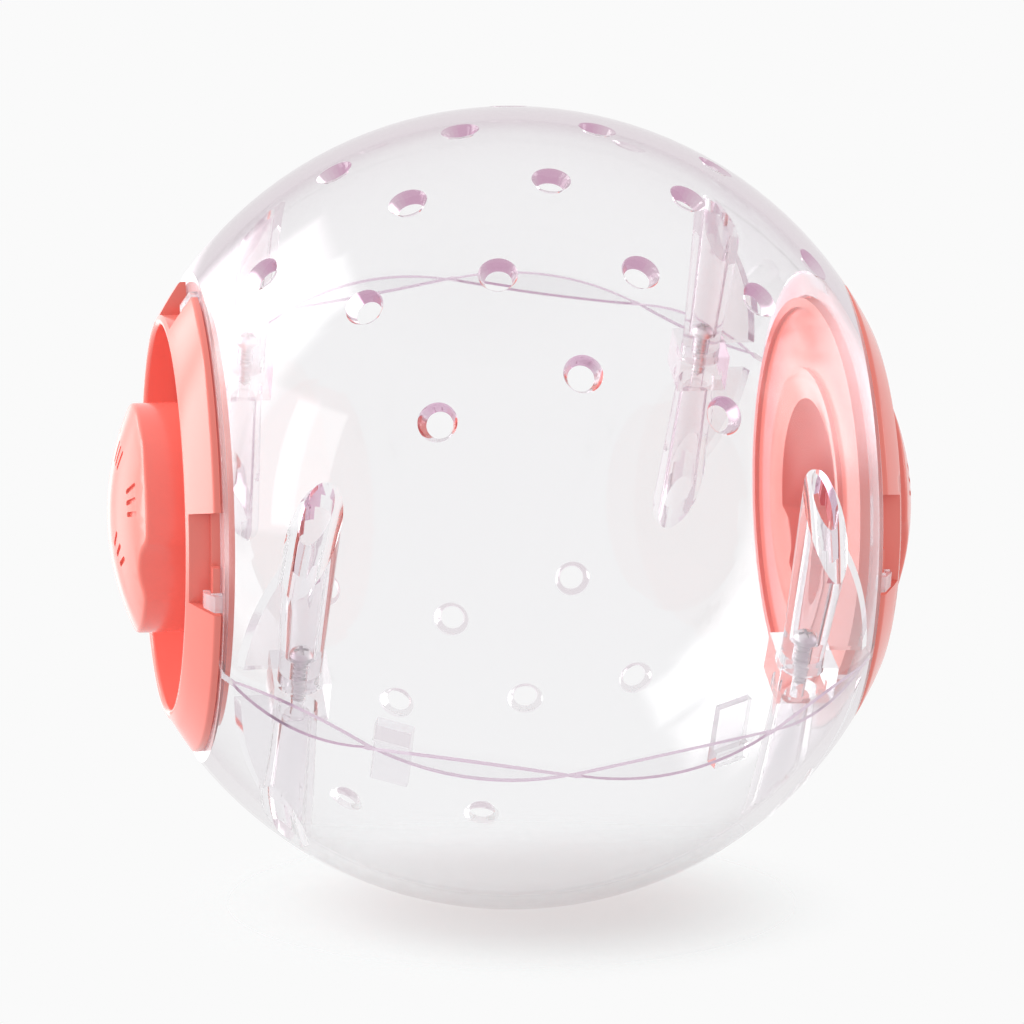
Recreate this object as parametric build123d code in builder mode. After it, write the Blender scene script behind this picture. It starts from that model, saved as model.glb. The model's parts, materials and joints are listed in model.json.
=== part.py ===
from build123d import *
import os
from math import cos, radians, sin, sqrt, tan

# Hamster ball: two clear half shells screwed together, with a twist-off cap at each end of its axis.
# Every piece is drawn with the parting seam on the XY plane, the cap axis along X and the front of the
# ball towards -Y. Each finished piece is then rolled about X, as the ball lies on the table.
# Sizes are in millimetres and degrees.

# Clear shells
BALL_DIAMETER = 145.0
SHELL_WALL = 2.5
SEAM_ROLL = 30.8            # how far the front of the seam has rolled down
SEAM_GAP = 0.1              # play between the two halves, all along the seam
WAVE_HEIGHT = 2.1           # how far a seam tongue reaches past the seam plane
WAVE_NODES = (-51.1, -29.2, 0.0, 29.2, 51.1)  # where the wavy seam lines cross, from the front middle

# Air holes: the upper half has one at its top and three rings of six, the lower half only a few
AIR_HOLE_DIAMETER = 6.8     # on the outside
AIR_HOLE_THROAT = 4.6       # on the inside
AIR_HOLE_BEVEL = 0.25       # on both rims of a hole
HOLES_PER_RING = 6
HOLE_RINGS = ((19.8, 30.0), (33.0, 0.0), (42.4, 30.0))  # angle down from the top, first hole's turn
LOWER_HOLES = (             # angle up from the bottom, turn from the front
    (5.0, 0.0),
    (21.0, 150.0),
    (21.0, 210.0),
    (23.0, 284.0),
    (33.0, 120.0),
    (33.0, 180.0),
    (33.0, 240.0),
    (42.4, 150.0),
    (42.4, 212.0),
)

# Screw posts and their webs
POST_DIAMETER = 7.0
POST_BORE = 4.4
POST_DRAFT = 2.2            # posts grow wider towards the shell
BORE_DRAFT = 1.2
POST_SETBACK = 12.0         # post's middle, in from the back of its collar
POST_END_GAP = 0.15
SOCKET_WALL = 1.05
SOCKET_PLAY = 0.2
SOCKET_ABOVE = 3.0
SOCKET_BELOW = 5.0
SOCKET_MARGIN = 0.7         # between a socket's corner and the shell
WEB_THICKNESS = 1.2
WEB_BASE = 3.4              # height of a web's base edge off the seam

# Screws
SCREW_HEAD_DIAMETER = 4.0
SCREW_HEAD_HEIGHT = 1.6
SCREW_SHANK = 2.3
SCREW_TIP = 1.4
SCREW_SEAT = 5.5            # height of the head's seat above the seam
SCREW_REACH = 4.6           # depth of the tip below the seam
SCREW_HOLE_PLAY = 0.4       # on the diameter, in the upper post
SCREW_PILOT_PLAY = 0.1      # on the diameter, in the lower post
PILOT_DEPTH = 6.5
DRIVE_WIDTH = 0.6
DRIVE_LENGTH = 2.4
DRIVE_DEPTH = 0.8

# Alignment tabs inside the front of the seam, one on each half
UPPER_TAB_TURN = -26.0      # from the front middle towards the right cap
LOWER_TAB_TURN = 23.4
TAB_WIDTH = 6.5
TAB_THICKNESS = 1.2
TAB_REACH = 8.0
TAB_ROOT = 4.5
TAB_FOOT = 3.5
TAB_CLEARANCE = 1.0         # between a tab and the shell's inside at the seam

# Caps
RIM_RADIUS = 34.3           # inside edge of the recess
CAP_WALL = 1.8
PLUG_STEP = 1.3             # how far the plug stands out from the recess wall
PLUG_DEPTH = 3.3            # plug's end, in from the collar's face
FLOOR_DEPTH = 0.7           # recess floor, in from the collar's face
SKIRT_SIDE = 1.4            # skirt's straight side above the collar's face, gap included
CAP_GAP = 0.3               # between the cap and the collar's face
LEDGE_THICKNESS = 1.2
SKIRT_COVER = 0.1           # skirt past the claws
RIM_ROUND = 0.8
SKIRT_ROUND = 0.7
HOLLOW_RADIUS = 22.8        # flared mouth of the knob's hollow, on the inside of the cap
HOLLOW_LIP = 1.6
FLARE_WALL = 1.0            # floor left above the flare

# Bayonet claws on the collars, and the notches in the caps that pass them
CLAW_COUNT = 4
CLAW_FIRST = 16.0           # from the front of the seam towards the upper shell
CLAW_SPAN = 4.0
CLAW_WALL = 2.0
CLAW_LIP = 1.2
CLAW_PLAY = 0.3
CLAW_INSET = 0.1            # claw tops lie just under the ball's surface
LIP_OVERLAP = 1.5
LIP_RELIEF = 0.2            # lip clear of the collar's bore
NOTCH_SPAN = 24.0
NOTCH_PLAY = 0.7
LEDGE_SPAN = 11.0
NOTCH_WALL_SPAN = 2.5

# Collars
PLUG_PLAY = 0.5
COLLAR_THICKNESS = 1.8

# Grip knobs
KNOB_RADIUS = 20.5
KNOB_PROUD = 0.5            # domed face beyond the ball's surface
KNOB_DOME = 48.0            # radius of that dome
KNOB_FACE_WALL = 2.2
KNOB_EDGE_ROUND = 0.9
POINTER_TURN = -54.0        # the lobe between the two finger dents
DENT_RADIUS = 9.0
DENT_DEPTH = 2.4
DENT_SPREAD = 66.0          # from the lobe to each dent
DENT_ROUND = 3.0
MARK_GROUPS = (             # turn from the seam's back towards the upper shell, distance out, slant
    (73.0, 12.0, 0.0),
    (129.5, 15.2, 0.0),
    (178.0, 9.2, -67.0),
)
MARKS_PER_GROUP = 3
MARK_PITCH = 2.3
MARK_FAN = 10.0             # turn between neighbouring marks
MARK_LENGTH = 3.8
MARK_WIDTH = 0.9
MARK_DEPTH = 0.5

AWAY_FROM_CAP = (0, 0, 180) # turns the edge where a sphere's surface closes to the far side

# Derived places
ball_radius = BALL_DIAMETER / 2
inner_radius = ball_radius - SHELL_WALL
middle_radius = ball_radius - SHELL_WALL / 2
half_gap = SEAM_GAP / 2

tube_outer = RIM_RADIUS + CAP_WALL
plug_radius = tube_outer + PLUG_STEP
collar_bore = plug_radius + PLUG_PLAY
lip_inner = collar_bore + LIP_RELIEF
ledge_outer = lip_inner + LIP_OVERLAP
stem_inner = ledge_outer + CLAW_PLAY
stem_outer = stem_inner + CLAW_WALL
skirt_radius = stem_outer + SKIRT_COVER
claw_starts = [CLAW_FIRST + index * 360 / CLAW_COUNT for index in range(CLAW_COUNT)]

collar_face = sqrt(ball_radius**2 - skirt_radius**2) - SKIRT_SIDE
collar_radius = sqrt(ball_radius**2 - collar_face**2)
collar_back = collar_face - COLLAR_THICKNESS
cap_base = collar_face + CAP_GAP
ledge_top = cap_base + LEDGE_THICKNESS
lip_base = ledge_top + CLAW_PLAY
lip_top = lip_base + CLAW_LIP
floor_face = collar_face - FLOOR_DEPTH
floor_back = floor_face - CAP_WALL
plug_end = collar_face - PLUG_DEPTH
knob_face = ball_radius + KNOB_PROUD
dome_middle = knob_face - KNOB_DOME

socket_size = POST_DIAMETER + 2 * SOCKET_PLAY + 2 * SOCKET_WALL
post_ring = inner_radius - socket_size / sqrt(2) - SOCKET_MARGIN
post_x = collar_back - POST_SETBACK
post_y = sqrt(post_ring**2 - post_x**2)
post_spots = [(sx * post_x, sy * post_y) for sx in (-1, 1) for sy in (-1, 1)]
tab_face = inner_radius - TAB_CLEARANCE

front_lenses = [((a + b) / 2, (b - a) / 2) for a, b in zip(WAVE_NODES, WAVE_NODES[1:])]
all_lenses = front_lenses + [(middle + 180.0, half) for middle, half in front_lenses]
outer_lenses = all_lenses[0::2]   # the upper half overlaps the lower one on the outside here
inner_lenses = all_lenses[1::2]   # and on the inside here


def on_sphere(radius, distance):
    """Distance along the cap axis of a sphere's point that lies so far from the axis."""
    return sqrt(radius**2 - distance**2)


def radial_plane(turn, distance):
    """Plane facing outwards in the seam plane, at a turn from the front middle, upright along Z."""
    s, c = sin(radians(turn)), cos(radians(turn))
    return Plane(origin=(distance * s, -distance * c, 0), x_dir=(c, s, 0), z_dir=(s, -c, 0))


def axis_plane(turn):
    """Plane through the cap axis: x along the axis, y outwards at a turn from the seam's front."""
    s, c = sin(radians(turn)), cos(radians(turn))
    return Plane(origin=(0, 0, 0), x_dir=(1, 0, 0), z_dir=(0, -s, -c))


def lens_prisms(lenses, side, reach, root):
    """Arched prisms past the seam plane, one for each lens of the wave, with a flat root behind them."""
    with BuildPart() as prisms:
        for middle, half in lenses:
            width = inner_radius * sin(radians(half))
            with BuildSketch(radial_plane(middle, inner_radius * cos(radians(half)) - SHELL_WALL)):
                with BuildLine():
                    Polyline((-width, 0), (-width, side * root), (width, side * root), (width, 0))
                    ThreePointArc((width, 0), (0, -side * reach), (-width, 0))
                make_face()
            extrude(amount=inner_radius * (1 - cos(radians(half))) + 4 * SHELL_WALL)
    return prisms.part


def seam_side(side, outside, inside):
    """All space on one side of the wavy lap seam; outside lenses overlap on the ball's outer layer."""
    tongue = WAVE_HEIGHT - half_gap
    notch = WAVE_HEIGHT + half_gap
    root = 2 * SEAM_GAP
    with BuildPart() as outer_tongues:
        add(lens_prisms(outside, side, tongue, root))
        Sphere(middle_radius + half_gap, mode=Mode.SUBTRACT)
    with BuildPart() as inner_tongues:
        add(lens_prisms(inside, side, tongue, root))
        Sphere(middle_radius - half_gap, mode=Mode.INTERSECT)
    with BuildPart() as outer_notches:
        add(lens_prisms(inside, -side, notch, root))
        Sphere(middle_radius - half_gap, mode=Mode.SUBTRACT)
    with BuildPart() as inner_notches:
        add(lens_prisms(outside, -side, notch, root))
        Sphere(middle_radius + half_gap, mode=Mode.INTERSECT)
    upright = Align.MIN if side > 0 else Align.MAX
    with BuildPart() as space:
        with Locations((0, 0, side * half_gap)):
            Box(*[2 * BALL_DIAMETER] * 3, align=(Align.CENTER, Align.CENTER, upright))
        add(outer_tongues.part)
        add(inner_tongues.part)
        add(outer_notches.part, mode=Mode.SUBTRACT)
        add(inner_notches.part, mode=Mode.SUBTRACT)
    return space.part


def drafted_pins(diameter, draft, start, side, mode):
    """Round pins at the posts' spots, from a height outwards, that grow wider towards the shell."""
    narrow = diameter / 2
    wide = narrow + ball_radius * tan(radians(draft))
    with Locations(*[(x, y, start) for x, y in post_spots]):
        if side > 0:
            Cone(narrow, wide, ball_radius, align=(Align.CENTER, Align.CENTER, Align.MIN), mode=mode)
        else:
            Cone(wide, narrow, ball_radius, align=(Align.CENTER, Align.CENTER, Align.MAX), mode=mode)


def post_fittings(side):
    """Posts and webs of one half, with the lower half's sockets, trimmed inside the shell's wall."""
    direction = Vector(0, 0, side)
    with BuildPart() as fittings:
        start = POST_END_GAP if side > 0 else -SOCKET_BELOW
        drafted_pins(POST_DIAMETER, POST_DRAFT, start, side, Mode.ADD)
        web_length = collar_back + COLLAR_THICKNESS / 2 - post_x
        with BuildSketch(Plane.XY.offset(side * WEB_BASE)):
            with Locations(*[(x + (web_length if x > 0 else -web_length) / 2, y) for x, y in post_spots]):
                Rectangle(web_length, WEB_THICKNESS)
        extrude(amount=ball_radius, dir=direction)
        if side < 0:
            with BuildSketch(Plane.XY.offset(-SOCKET_BELOW)):
                with Locations(*post_spots):
                    Rectangle(socket_size, socket_size)
            extrude(amount=SOCKET_BELOW + SOCKET_ABOVE)
        tab_turn = UPPER_TAB_TURN if side > 0 else LOWER_TAB_TURN
        tab_plane = radial_plane(tab_turn, tab_face - TAB_THICKNESS)
        with BuildSketch(tab_plane):
            with Locations((0, side * (TAB_ROOT - TAB_REACH) / 2)):
                Rectangle(TAB_WIDTH, TAB_ROOT + TAB_REACH)
        extrude(amount=TAB_THICKNESS)
        with BuildSketch(tab_plane):
            with Locations((0, side * (TAB_ROOT - TAB_FOOT / 2))):
                Rectangle(TAB_WIDTH, TAB_FOOT)
        extrude(amount=TAB_THICKNESS + TAB_CLEARANCE + SHELL_WALL)
        Sphere(middle_radius, mode=Mode.INTERSECT)
    return fittings.part


def collar_claws(side):
    """Hooked claws that stand on the outer faces of both collars, on one half."""
    starts = [start for start in claw_starts if sin(radians(start + CLAW_SPAN / 2)) * side > 0]
    root = collar_face - COLLAR_THICKNESS / 2
    with BuildPart() as claws:
        for start in starts:
            with BuildSketch(axis_plane(start + CLAW_SPAN)):
                with BuildLine():
                    Polyline(
                        (root, stem_inner),
                        (lip_base, stem_inner),
                        (lip_base, lip_inner),
                        (lip_top, lip_inner),
                        (lip_top, stem_outer),
                        (root, stem_outer),
                        close=True,
                    )
                make_face()
            revolve(axis=Axis.X, revolution_arc=CLAW_SPAN)
        Sphere(ball_radius - CLAW_INSET, mode=Mode.INTERSECT)
        mirror(about=Plane.YZ)
    return claws.part


def air_hole_planes(side):
    """Outward planes through the ball's centre, one for each air hole of a half."""
    spots = LOWER_HOLES if side < 0 else [(0.0, 0.0)] + [
        (tilt, first + index * 360 / HOLES_PER_RING)
        for tilt, first in HOLE_RINGS
        for index in range(HOLES_PER_RING)
    ]
    planes = []
    for tilt, turn in spots:
        across = sin(radians(tilt))
        outward = (across * sin(radians(turn)), -across * cos(radians(turn)), side * cos(radians(tilt)))
        planes.append(Plane(origin=(0, 0, 0), z_dir=outward))
    return planes


def make_hole_cutter():
    """Funnel-shaped space of an air hole with its bevelled rims, along Z from the ball's centre."""
    bevel = AIR_HOLE_BEVEL
    hole = AIR_HOLE_DIAMETER / 2
    throat = AIR_HOLE_THROAT / 2
    top = on_sphere(ball_radius, hole)
    bottom = on_sphere(inner_radius, throat)
    with BuildPart() as cutter:
        with BuildSketch(Plane.XZ):
            with BuildLine():
                Polyline(
                    (0, bottom - bevel),
                    (throat + bevel, bottom - bevel),
                    (throat, bottom + bevel),
                    (hole - bevel, top - bevel),
                    (hole + bevel, top + bevel),
                    (0, top + bevel),
                    close=True,
                )
            make_face()
        revolve(axis=Axis.Z)
    return cutter.part


def ball_profile():
    """Section of the clear wall and its two collars, above the cap axis, drawn in the open sketch."""
    inside = on_sphere(inner_radius, collar_back)
    with BuildLine() as outline:
        ThreePointArc((-collar_face, collar_radius), (0, ball_radius), (collar_face, collar_radius))
        Polyline(
            (collar_face, collar_radius),
            (collar_face, collar_bore),
            (collar_back, collar_bore),
            (collar_back, inside),
        )
        ThreePointArc((collar_back, inside), (0, inner_radius), (-collar_back, inside))
        Polyline(
            (-collar_back, inside),
            (-collar_back, collar_bore),
            (-collar_face, collar_bore),
            (-collar_face, collar_radius),
        )
    make_face(outline.edges())


def drill_posts(side):
    """Screw bores down the posts of the half that is being built."""
    step = SCREW_SEAT if side > 0 else -PILOT_DEPTH
    screw_play = SCREW_HOLE_PLAY if side > 0 else SCREW_PILOT_PLAY
    drafted_pins(POST_BORE, BORE_DRAFT, step, side, Mode.SUBTRACT)
    with Locations(*[(x, y, 0) for x, y in post_spots]):
        Cylinder((SCREW_SHANK + screw_play) / 2, 2 * PILOT_DEPTH + 2 * SOCKET_ABOVE, mode=Mode.SUBTRACT)
        if side < 0:
            Cylinder(
                POST_DIAMETER / 2 + SOCKET_PLAY,
                2 * SOCKET_ABOVE,
                align=(Align.CENTER, Align.CENTER, Align.MIN),
                mode=Mode.SUBTRACT,
            )


def write_piece(drawn, name):
    """Roll a drawn piece to the way the ball lies, name it and write it."""
    with BuildPart() as piece:
        add(drawn, rotation=(SEAM_ROLL, 0, 0))
    piece.part.label = name
    export_step(piece.part, f"parts/{name}.step")


def make_half(side, outside, inside):
    """One clear half shell: side 1 is the upper one, side -1 the lower one."""
    space = seam_side(side, outside, inside)
    fittings = post_fittings(side)
    claws = collar_claws(side)
    hole_cutter = make_hole_cutter()
    with BuildPart() as half:
        with BuildSketch(Plane.XY):
            ball_profile()
        revolve(axis=Axis.X)
        add(space, mode=Mode.INTERSECT)
        add(fittings)
        add(claws)
        drill_posts(side)
        with Locations(*air_hole_planes(side)):
            add(hole_cutter, mode=Mode.SUBTRACT)
    return half.part


def make_screw(spot):
    """Pan-head screw in the post at one spot."""
    head = SCREW_HEAD_DIAMETER / 2
    shank = SCREW_SHANK / 2
    top = SCREW_SEAT + SCREW_HEAD_HEIGHT
    edge = SCREW_SEAT + SCREW_HEAD_HEIGHT / 2
    shoulder = SCREW_SEAT + SCREW_HEAD_HEIGHT * (1 + sin(radians(45))) / 2
    with BuildPart() as screw:
        with BuildSketch(Plane.XZ):
            with BuildLine():
                Polyline(
                    (0, top),
                    (0, -SCREW_REACH),
                    (shank, SCREW_TIP - SCREW_REACH),
                    (shank, SCREW_SEAT),
                    (head, SCREW_SEAT),
                    (head, edge),
                )
                ThreePointArc((head, edge), (head * cos(radians(45)), shoulder), (0, top))
            make_face()
        revolve(axis=Axis.Z)
        with BuildSketch(Plane.XY.offset(top - DRIVE_DEPTH)):
            Rectangle(DRIVE_LENGTH, DRIVE_WIDTH)
            Rectangle(DRIVE_WIDTH, DRIVE_LENGTH)
        extrude(amount=SCREW_HEAD_HEIGHT, mode=Mode.SUBTRACT)
    with BuildPart() as seated:
        with Locations(spot):
            add(screw.part)
    return seated.part


def sector(profile, start, span):
    """Solid swept by a closed profile of (axis, radius) points round the cap axis."""
    with BuildPart() as swept:
        with BuildSketch(axis_plane(start + span)):
            with BuildLine():
                Polyline(*profile, close=True)
            make_face()
        revolve(axis=Axis.X, revolution_arc=span)
    return swept.part


def cap_profile():
    """Section of a cap's skirt, recess, floor, hollow's lip and plug, drawn in the open sketch."""
    under = ball_radius - CAP_WALL
    base_inner = on_sphere(under, cap_base)
    mid_skirt = (skirt_radius + RIM_RADIUS) / 2
    mid_under = (base_inner + tube_outer) / 2
    flare_top = floor_face - FLARE_WALL
    with BuildLine() as outline:
        Polyline(
            (flare_top, 0),
            (flare_top, KNOB_RADIUS - 2 * CAP_WALL),
            (plug_end, HOLLOW_RADIUS),
            (plug_end, HOLLOW_RADIUS + HOLLOW_LIP),
            (floor_back, HOLLOW_RADIUS + HOLLOW_LIP),
            (floor_back, plug_radius - CAP_WALL),
            (plug_end, plug_radius - CAP_WALL),
            (plug_end, plug_radius),
            (ledge_top, plug_radius),
            (ledge_top, tube_outer),
            (on_sphere(under, tube_outer), tube_outer),
        )
        ThreePointArc(
            (on_sphere(under, tube_outer), tube_outer),
            (on_sphere(under, mid_under), mid_under),
            (cap_base, base_inner),
        )
        Polyline(
            (cap_base, base_inner),
            (cap_base, skirt_radius),
            (on_sphere(ball_radius, skirt_radius), skirt_radius),
        )
        ThreePointArc(
            (on_sphere(ball_radius, skirt_radius), skirt_radius),
            (on_sphere(ball_radius, mid_skirt), mid_skirt),
            (on_sphere(ball_radius, RIM_RADIUS), RIM_RADIUS),
        )
        Polyline(
            (on_sphere(ball_radius, RIM_RADIUS), RIM_RADIUS),
            (floor_face, RIM_RADIUS),
            (floor_face, 0),
            (flare_top, 0),
        )
    make_face(outline.edges())


def knob_outline(inset):
    """Round grip with two finger dents, one each side of its pointing lobe, drawn in the open sketch."""
    reach = KNOB_RADIUS + DENT_RADIUS - DENT_DEPTH
    Circle(KNOB_RADIUS - inset)
    for spread in (-DENT_SPREAD, DENT_SPREAD):
        turn = radians(POINTER_TURN + spread)
        with Locations((-reach * cos(turn), reach * sin(turn))):
            Circle(DENT_RADIUS + inset, mode=Mode.SUBTRACT)


def knob_marks():
    """Space of the short grooves in the knob's face, in groups round its middle."""
    with BuildPart() as marks:
        with BuildSketch(Plane.YZ.offset(floor_face)):
            for turn, distance, slant in MARK_GROUPS:
                for index in range(MARKS_PER_GROUP):
                    offset = index - (MARKS_PER_GROUP - 1) / 2
                    with PolarLocations(distance, 1, start_angle=turn):
                        with Locations(Location((0, 0, 0), (0, 0, slant))):
                            with Locations((0, offset * MARK_PITCH)):
                                SlotOverall(MARK_LENGTH, MARK_WIDTH, rotation=offset * MARK_FAN)
        extrude(amount=ball_radius)
        with Locations((dome_middle, 0, 0)):
            Sphere(KNOB_DOME - MARK_DEPTH, rotation=AWAY_FROM_CAP, mode=Mode.SUBTRACT)
    return marks.part


def make_knob():
    """Domed grip knob on the cap's floor, solid; its hollow is cut through the floor afterwards."""
    with BuildPart() as knob:
        with BuildSketch(Plane.YZ.offset(floor_face - CAP_WALL / 2)) as outline:
            knob_outline(0)
            fillet(outline.vertices(), DENT_ROUND)
        extrude(amount=ball_radius)
        with Locations((dome_middle, 0, 0)):
            Sphere(KNOB_DOME, rotation=AWAY_FROM_CAP, mode=Mode.INTERSECT)
        fillet(knob.faces().sort_by(Axis.X)[-1].edges(), KNOB_EDGE_ROUND)
        add(knob_marks(), mode=Mode.SUBTRACT)
    return knob.part


def make_knob_hollow():
    """Space inside the knob, open to the inside of the ball."""
    with BuildPart() as hollow:
        with BuildSketch(Plane.YZ.offset(plug_end)) as outline:
            knob_outline(CAP_WALL)
            fillet(outline.vertices(), DENT_ROUND - CAP_WALL)
        extrude(amount=ball_radius)
        with Locations((dome_middle, 0, 0)):
            Sphere(KNOB_DOME - KNOB_FACE_WALL, rotation=AWAY_FROM_CAP, mode=Mode.INTERSECT)
    return hollow.part


def notch_profiles():
    """Sections, as (axis, radius) points, of a notch's cut, its end walls and the ledge a claw holds."""
    cut = [
        (ledge_top, tube_outer),
        (BALL_DIAMETER, tube_outer),
        (BALL_DIAMETER, collar_radius),
        (cap_base, collar_radius),
        (cap_base, plug_radius),
        (ledge_top, plug_radius),
    ]
    ledge_root = plug_radius - CAP_WALL / 2
    ledge = [
        (cap_base, ledge_root),
        (ledge_top, ledge_root),
        (ledge_top, ledge_outer),
        (cap_base, ledge_outer),
    ]
    under = ball_radius - CAP_WALL / 2
    wall_outer = skirt_radius - CAP_WALL / 2
    wall_inner = tube_outer - CAP_WALL / 2
    end_wall = [
        (cap_base, ledge_root),
        (cap_base, wall_outer),
        (on_sphere(under, wall_outer), wall_outer),
        (on_sphere(under, wall_inner), wall_inner),
        (ledge_top, wall_inner),
    ]
    return cut, ledge, end_wall


def make_right_cap():
    """Twist-off cap at the +X end, one moulding with its knob."""
    knob = make_knob()
    hollow = make_knob_hollow()
    cut, ledge, end_wall = notch_profiles()
    with BuildPart() as cap:
        with BuildSketch(Plane.XY) as section:
            cap_profile()
            fillet(section.vertices().sort_by(Axis.X)[-1], RIM_ROUND)
            fillet(section.vertices().group_by(Axis.Y)[-1].sort_by(Axis.X)[-1], SKIRT_ROUND)
        revolve(axis=Axis.X)
        for start in claw_starts:
            first = start - NOTCH_PLAY
            last = start + NOTCH_SPAN
            add(sector(end_wall, first - NOTCH_WALL_SPAN, last - first + 2 * NOTCH_WALL_SPAN))
            add(sector(cut, first, last - first), mode=Mode.SUBTRACT)
            add(sector(ledge, first - NOTCH_WALL_SPAN, LEDGE_SPAN + NOTCH_WALL_SPAN))
        add(knob)
        add(hollow, mode=Mode.SUBTRACT)
    return cap.part


os.makedirs("parts", exist_ok=True)

write_piece(make_half(1, outer_lenses, inner_lenses), "upper_shell")
write_piece(make_half(-1, inner_lenses, outer_lenses), "lower_shell")
for x, y in post_spots:
    end = "left" if x < 0 else "right"
    face = "front" if y < 0 else "back"
    write_piece(make_screw((x, y)), f"{face}_{end}_screw")

right_cap = make_right_cap()
write_piece(right_cap, "right_cap")
write_piece(right_cap.mirror(Plane.YZ), "left_cap")
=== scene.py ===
import json
import math

import bmesh
import bpy
from mathutils import Matrix, Vector


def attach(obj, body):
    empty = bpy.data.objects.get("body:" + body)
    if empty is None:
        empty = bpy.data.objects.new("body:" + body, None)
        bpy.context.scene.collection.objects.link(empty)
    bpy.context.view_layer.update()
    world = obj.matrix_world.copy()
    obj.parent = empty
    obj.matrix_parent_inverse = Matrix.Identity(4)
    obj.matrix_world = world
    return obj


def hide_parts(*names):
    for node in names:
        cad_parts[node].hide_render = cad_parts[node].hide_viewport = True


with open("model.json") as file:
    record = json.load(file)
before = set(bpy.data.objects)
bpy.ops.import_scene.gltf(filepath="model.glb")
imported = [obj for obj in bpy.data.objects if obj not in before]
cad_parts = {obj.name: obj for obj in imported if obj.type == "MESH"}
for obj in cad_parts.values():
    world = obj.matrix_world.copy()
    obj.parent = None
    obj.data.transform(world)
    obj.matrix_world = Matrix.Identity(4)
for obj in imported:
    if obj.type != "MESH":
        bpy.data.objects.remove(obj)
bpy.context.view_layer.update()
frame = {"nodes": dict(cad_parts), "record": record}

bl_info = {
    "name": "Hamster ball",
    "version": (1, 0, 0),
    "blender": (4, 5, 0),
    "location": "3D View > Sidebar > Hamster ball",
    "description": "Finishes a clear hamster ball with coral twist-off caps round its packed frame",
    "category": "Object",
}

MM = 0.001
WHITE = (1.0, 1.0, 1.0, 1.0)

# Ball sizes, in metres
BALL_RADIUS = -frame["record"]["mounts"][0]["pos_m"][2]
WALL = 2.5 * MM
COLLAR_BACK = 55.8 * MM     # clear collars start here along the cap axis
SEAM_ROLL = math.radians(30.8)
SEAM_BAND = 3.5 * MM        # the wavy lap seam stays within this of the seam plane
FITTING_DEPTH = 0.3 * MM    # inner fittings stand further in from the wall than this

# Reading of the CAD meshes
ON_SURFACE = 0.02 * MM      # a vertex this close to a sphere lies on it
MERGE_DISTANCE = 0.0005 * MM
WALL_FACING = 0.8           # a bevel that faces so much out or in belongs to the wall

# Share of the painted glow (coral cap light piped along the plastic) on the air holes' walls
HOLE_GLOW_LEAST = 0.35
HOLE_GLOW_SIDE = 0.6       # halfway up a hole
HOLE_GLOW_RISE = 0.5       # added towards a hole's upper side, taken away towards its lower one
LOWER_HOLE_GLOW = 0.5      # of all that, in the lower half

# Finishes
PLASTIC_IOR = 1.49
FITTING_IOR = 1.12          # thin fittings bend little of what is seen through them
CORAL_IOR = 1.5
# The wall's darkening towards its outline is partly painted shade, for dark surroundings reflected
# there.
GRAZING_SHADE_POWER = 6.0         # how closely the grazing tint keeps to the outline
TRAPPED_FADE = 1.5          # trapped light takes no tint past this many times its reach
# Painted light: near the bottom the trapped light takes a paler tint, for the pale floor lighting
# the wall from below.
FLOOR_LIT_TOP = -10 * MM     # the low tint ends at this height
FLOOR_LIT_FULL = -60 * MM    # and is full below this one
HAZE_SCALE = 85.0           # hazy patches to a metre
SCRATCH_TURN = (0.6, 0.3, 0.9)
SCRATCH_SCALE = (1400.0, 90.0, 90.0)
SCRATCH_START, SCRATCH_FULL = 0.66, 0.72    # noise that turns into a scratch

# Threads, floor and lamps
THREAD_STEPS = 28           # points in one turn of a thread
RIDGE_CORNERS = 3
SENSOR_WIDTH = 36.0
FLOOR_SEGMENTS = 96
FLOOR_FADE_START, FLOOR_FADE_END = 0.3, 0.9     # shares of the floor's radius
SOFTBOXES = (               # name, place, size, brightness, share of the size that fades out
    ("left_softbox", (-1.33, -0.45, 0.35), (0.46, 0.80), 2.4, 0.06),
    ("top_softbox", (-1.00, 0.22, 1.08), (0.55, 0.60), 6.0, 0.32),
    ("side_softbox", (-1.20, 0.42, 0.35), (1.00, 1.80), 4.8, 0.28),
    ("back_softbox", (-0.78, 1.03, -0.10), (0.70, 0.90), 1.1, 0.40),
    ("high_softbox", (-0.79, 0.96, 0.42), (0.70, 0.50), 2.6, 0.40),
    ("rear_softbox", (-0.225, 1.21, -0.19), (0.36, 0.60), 1.0, 0.40),
    ("right_softbox", (1.29, -0.05, 0.39), (0.90, 0.74), 2.6, 0.35),
)

SHELL_NODES = ("upper_shell", "lower_shell")
CAP_NODES = ("left_cap", "right_cap")
SCREW_NODES = (
    "front_left_screw", "front_right_screw", "back_left_screw", "back_right_screw",
)
BODY_OF = {
    node: body
    for body, nodes in frame["record"]["behaviour"]["bodies"].items()
    for node in nodes
}


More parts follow.
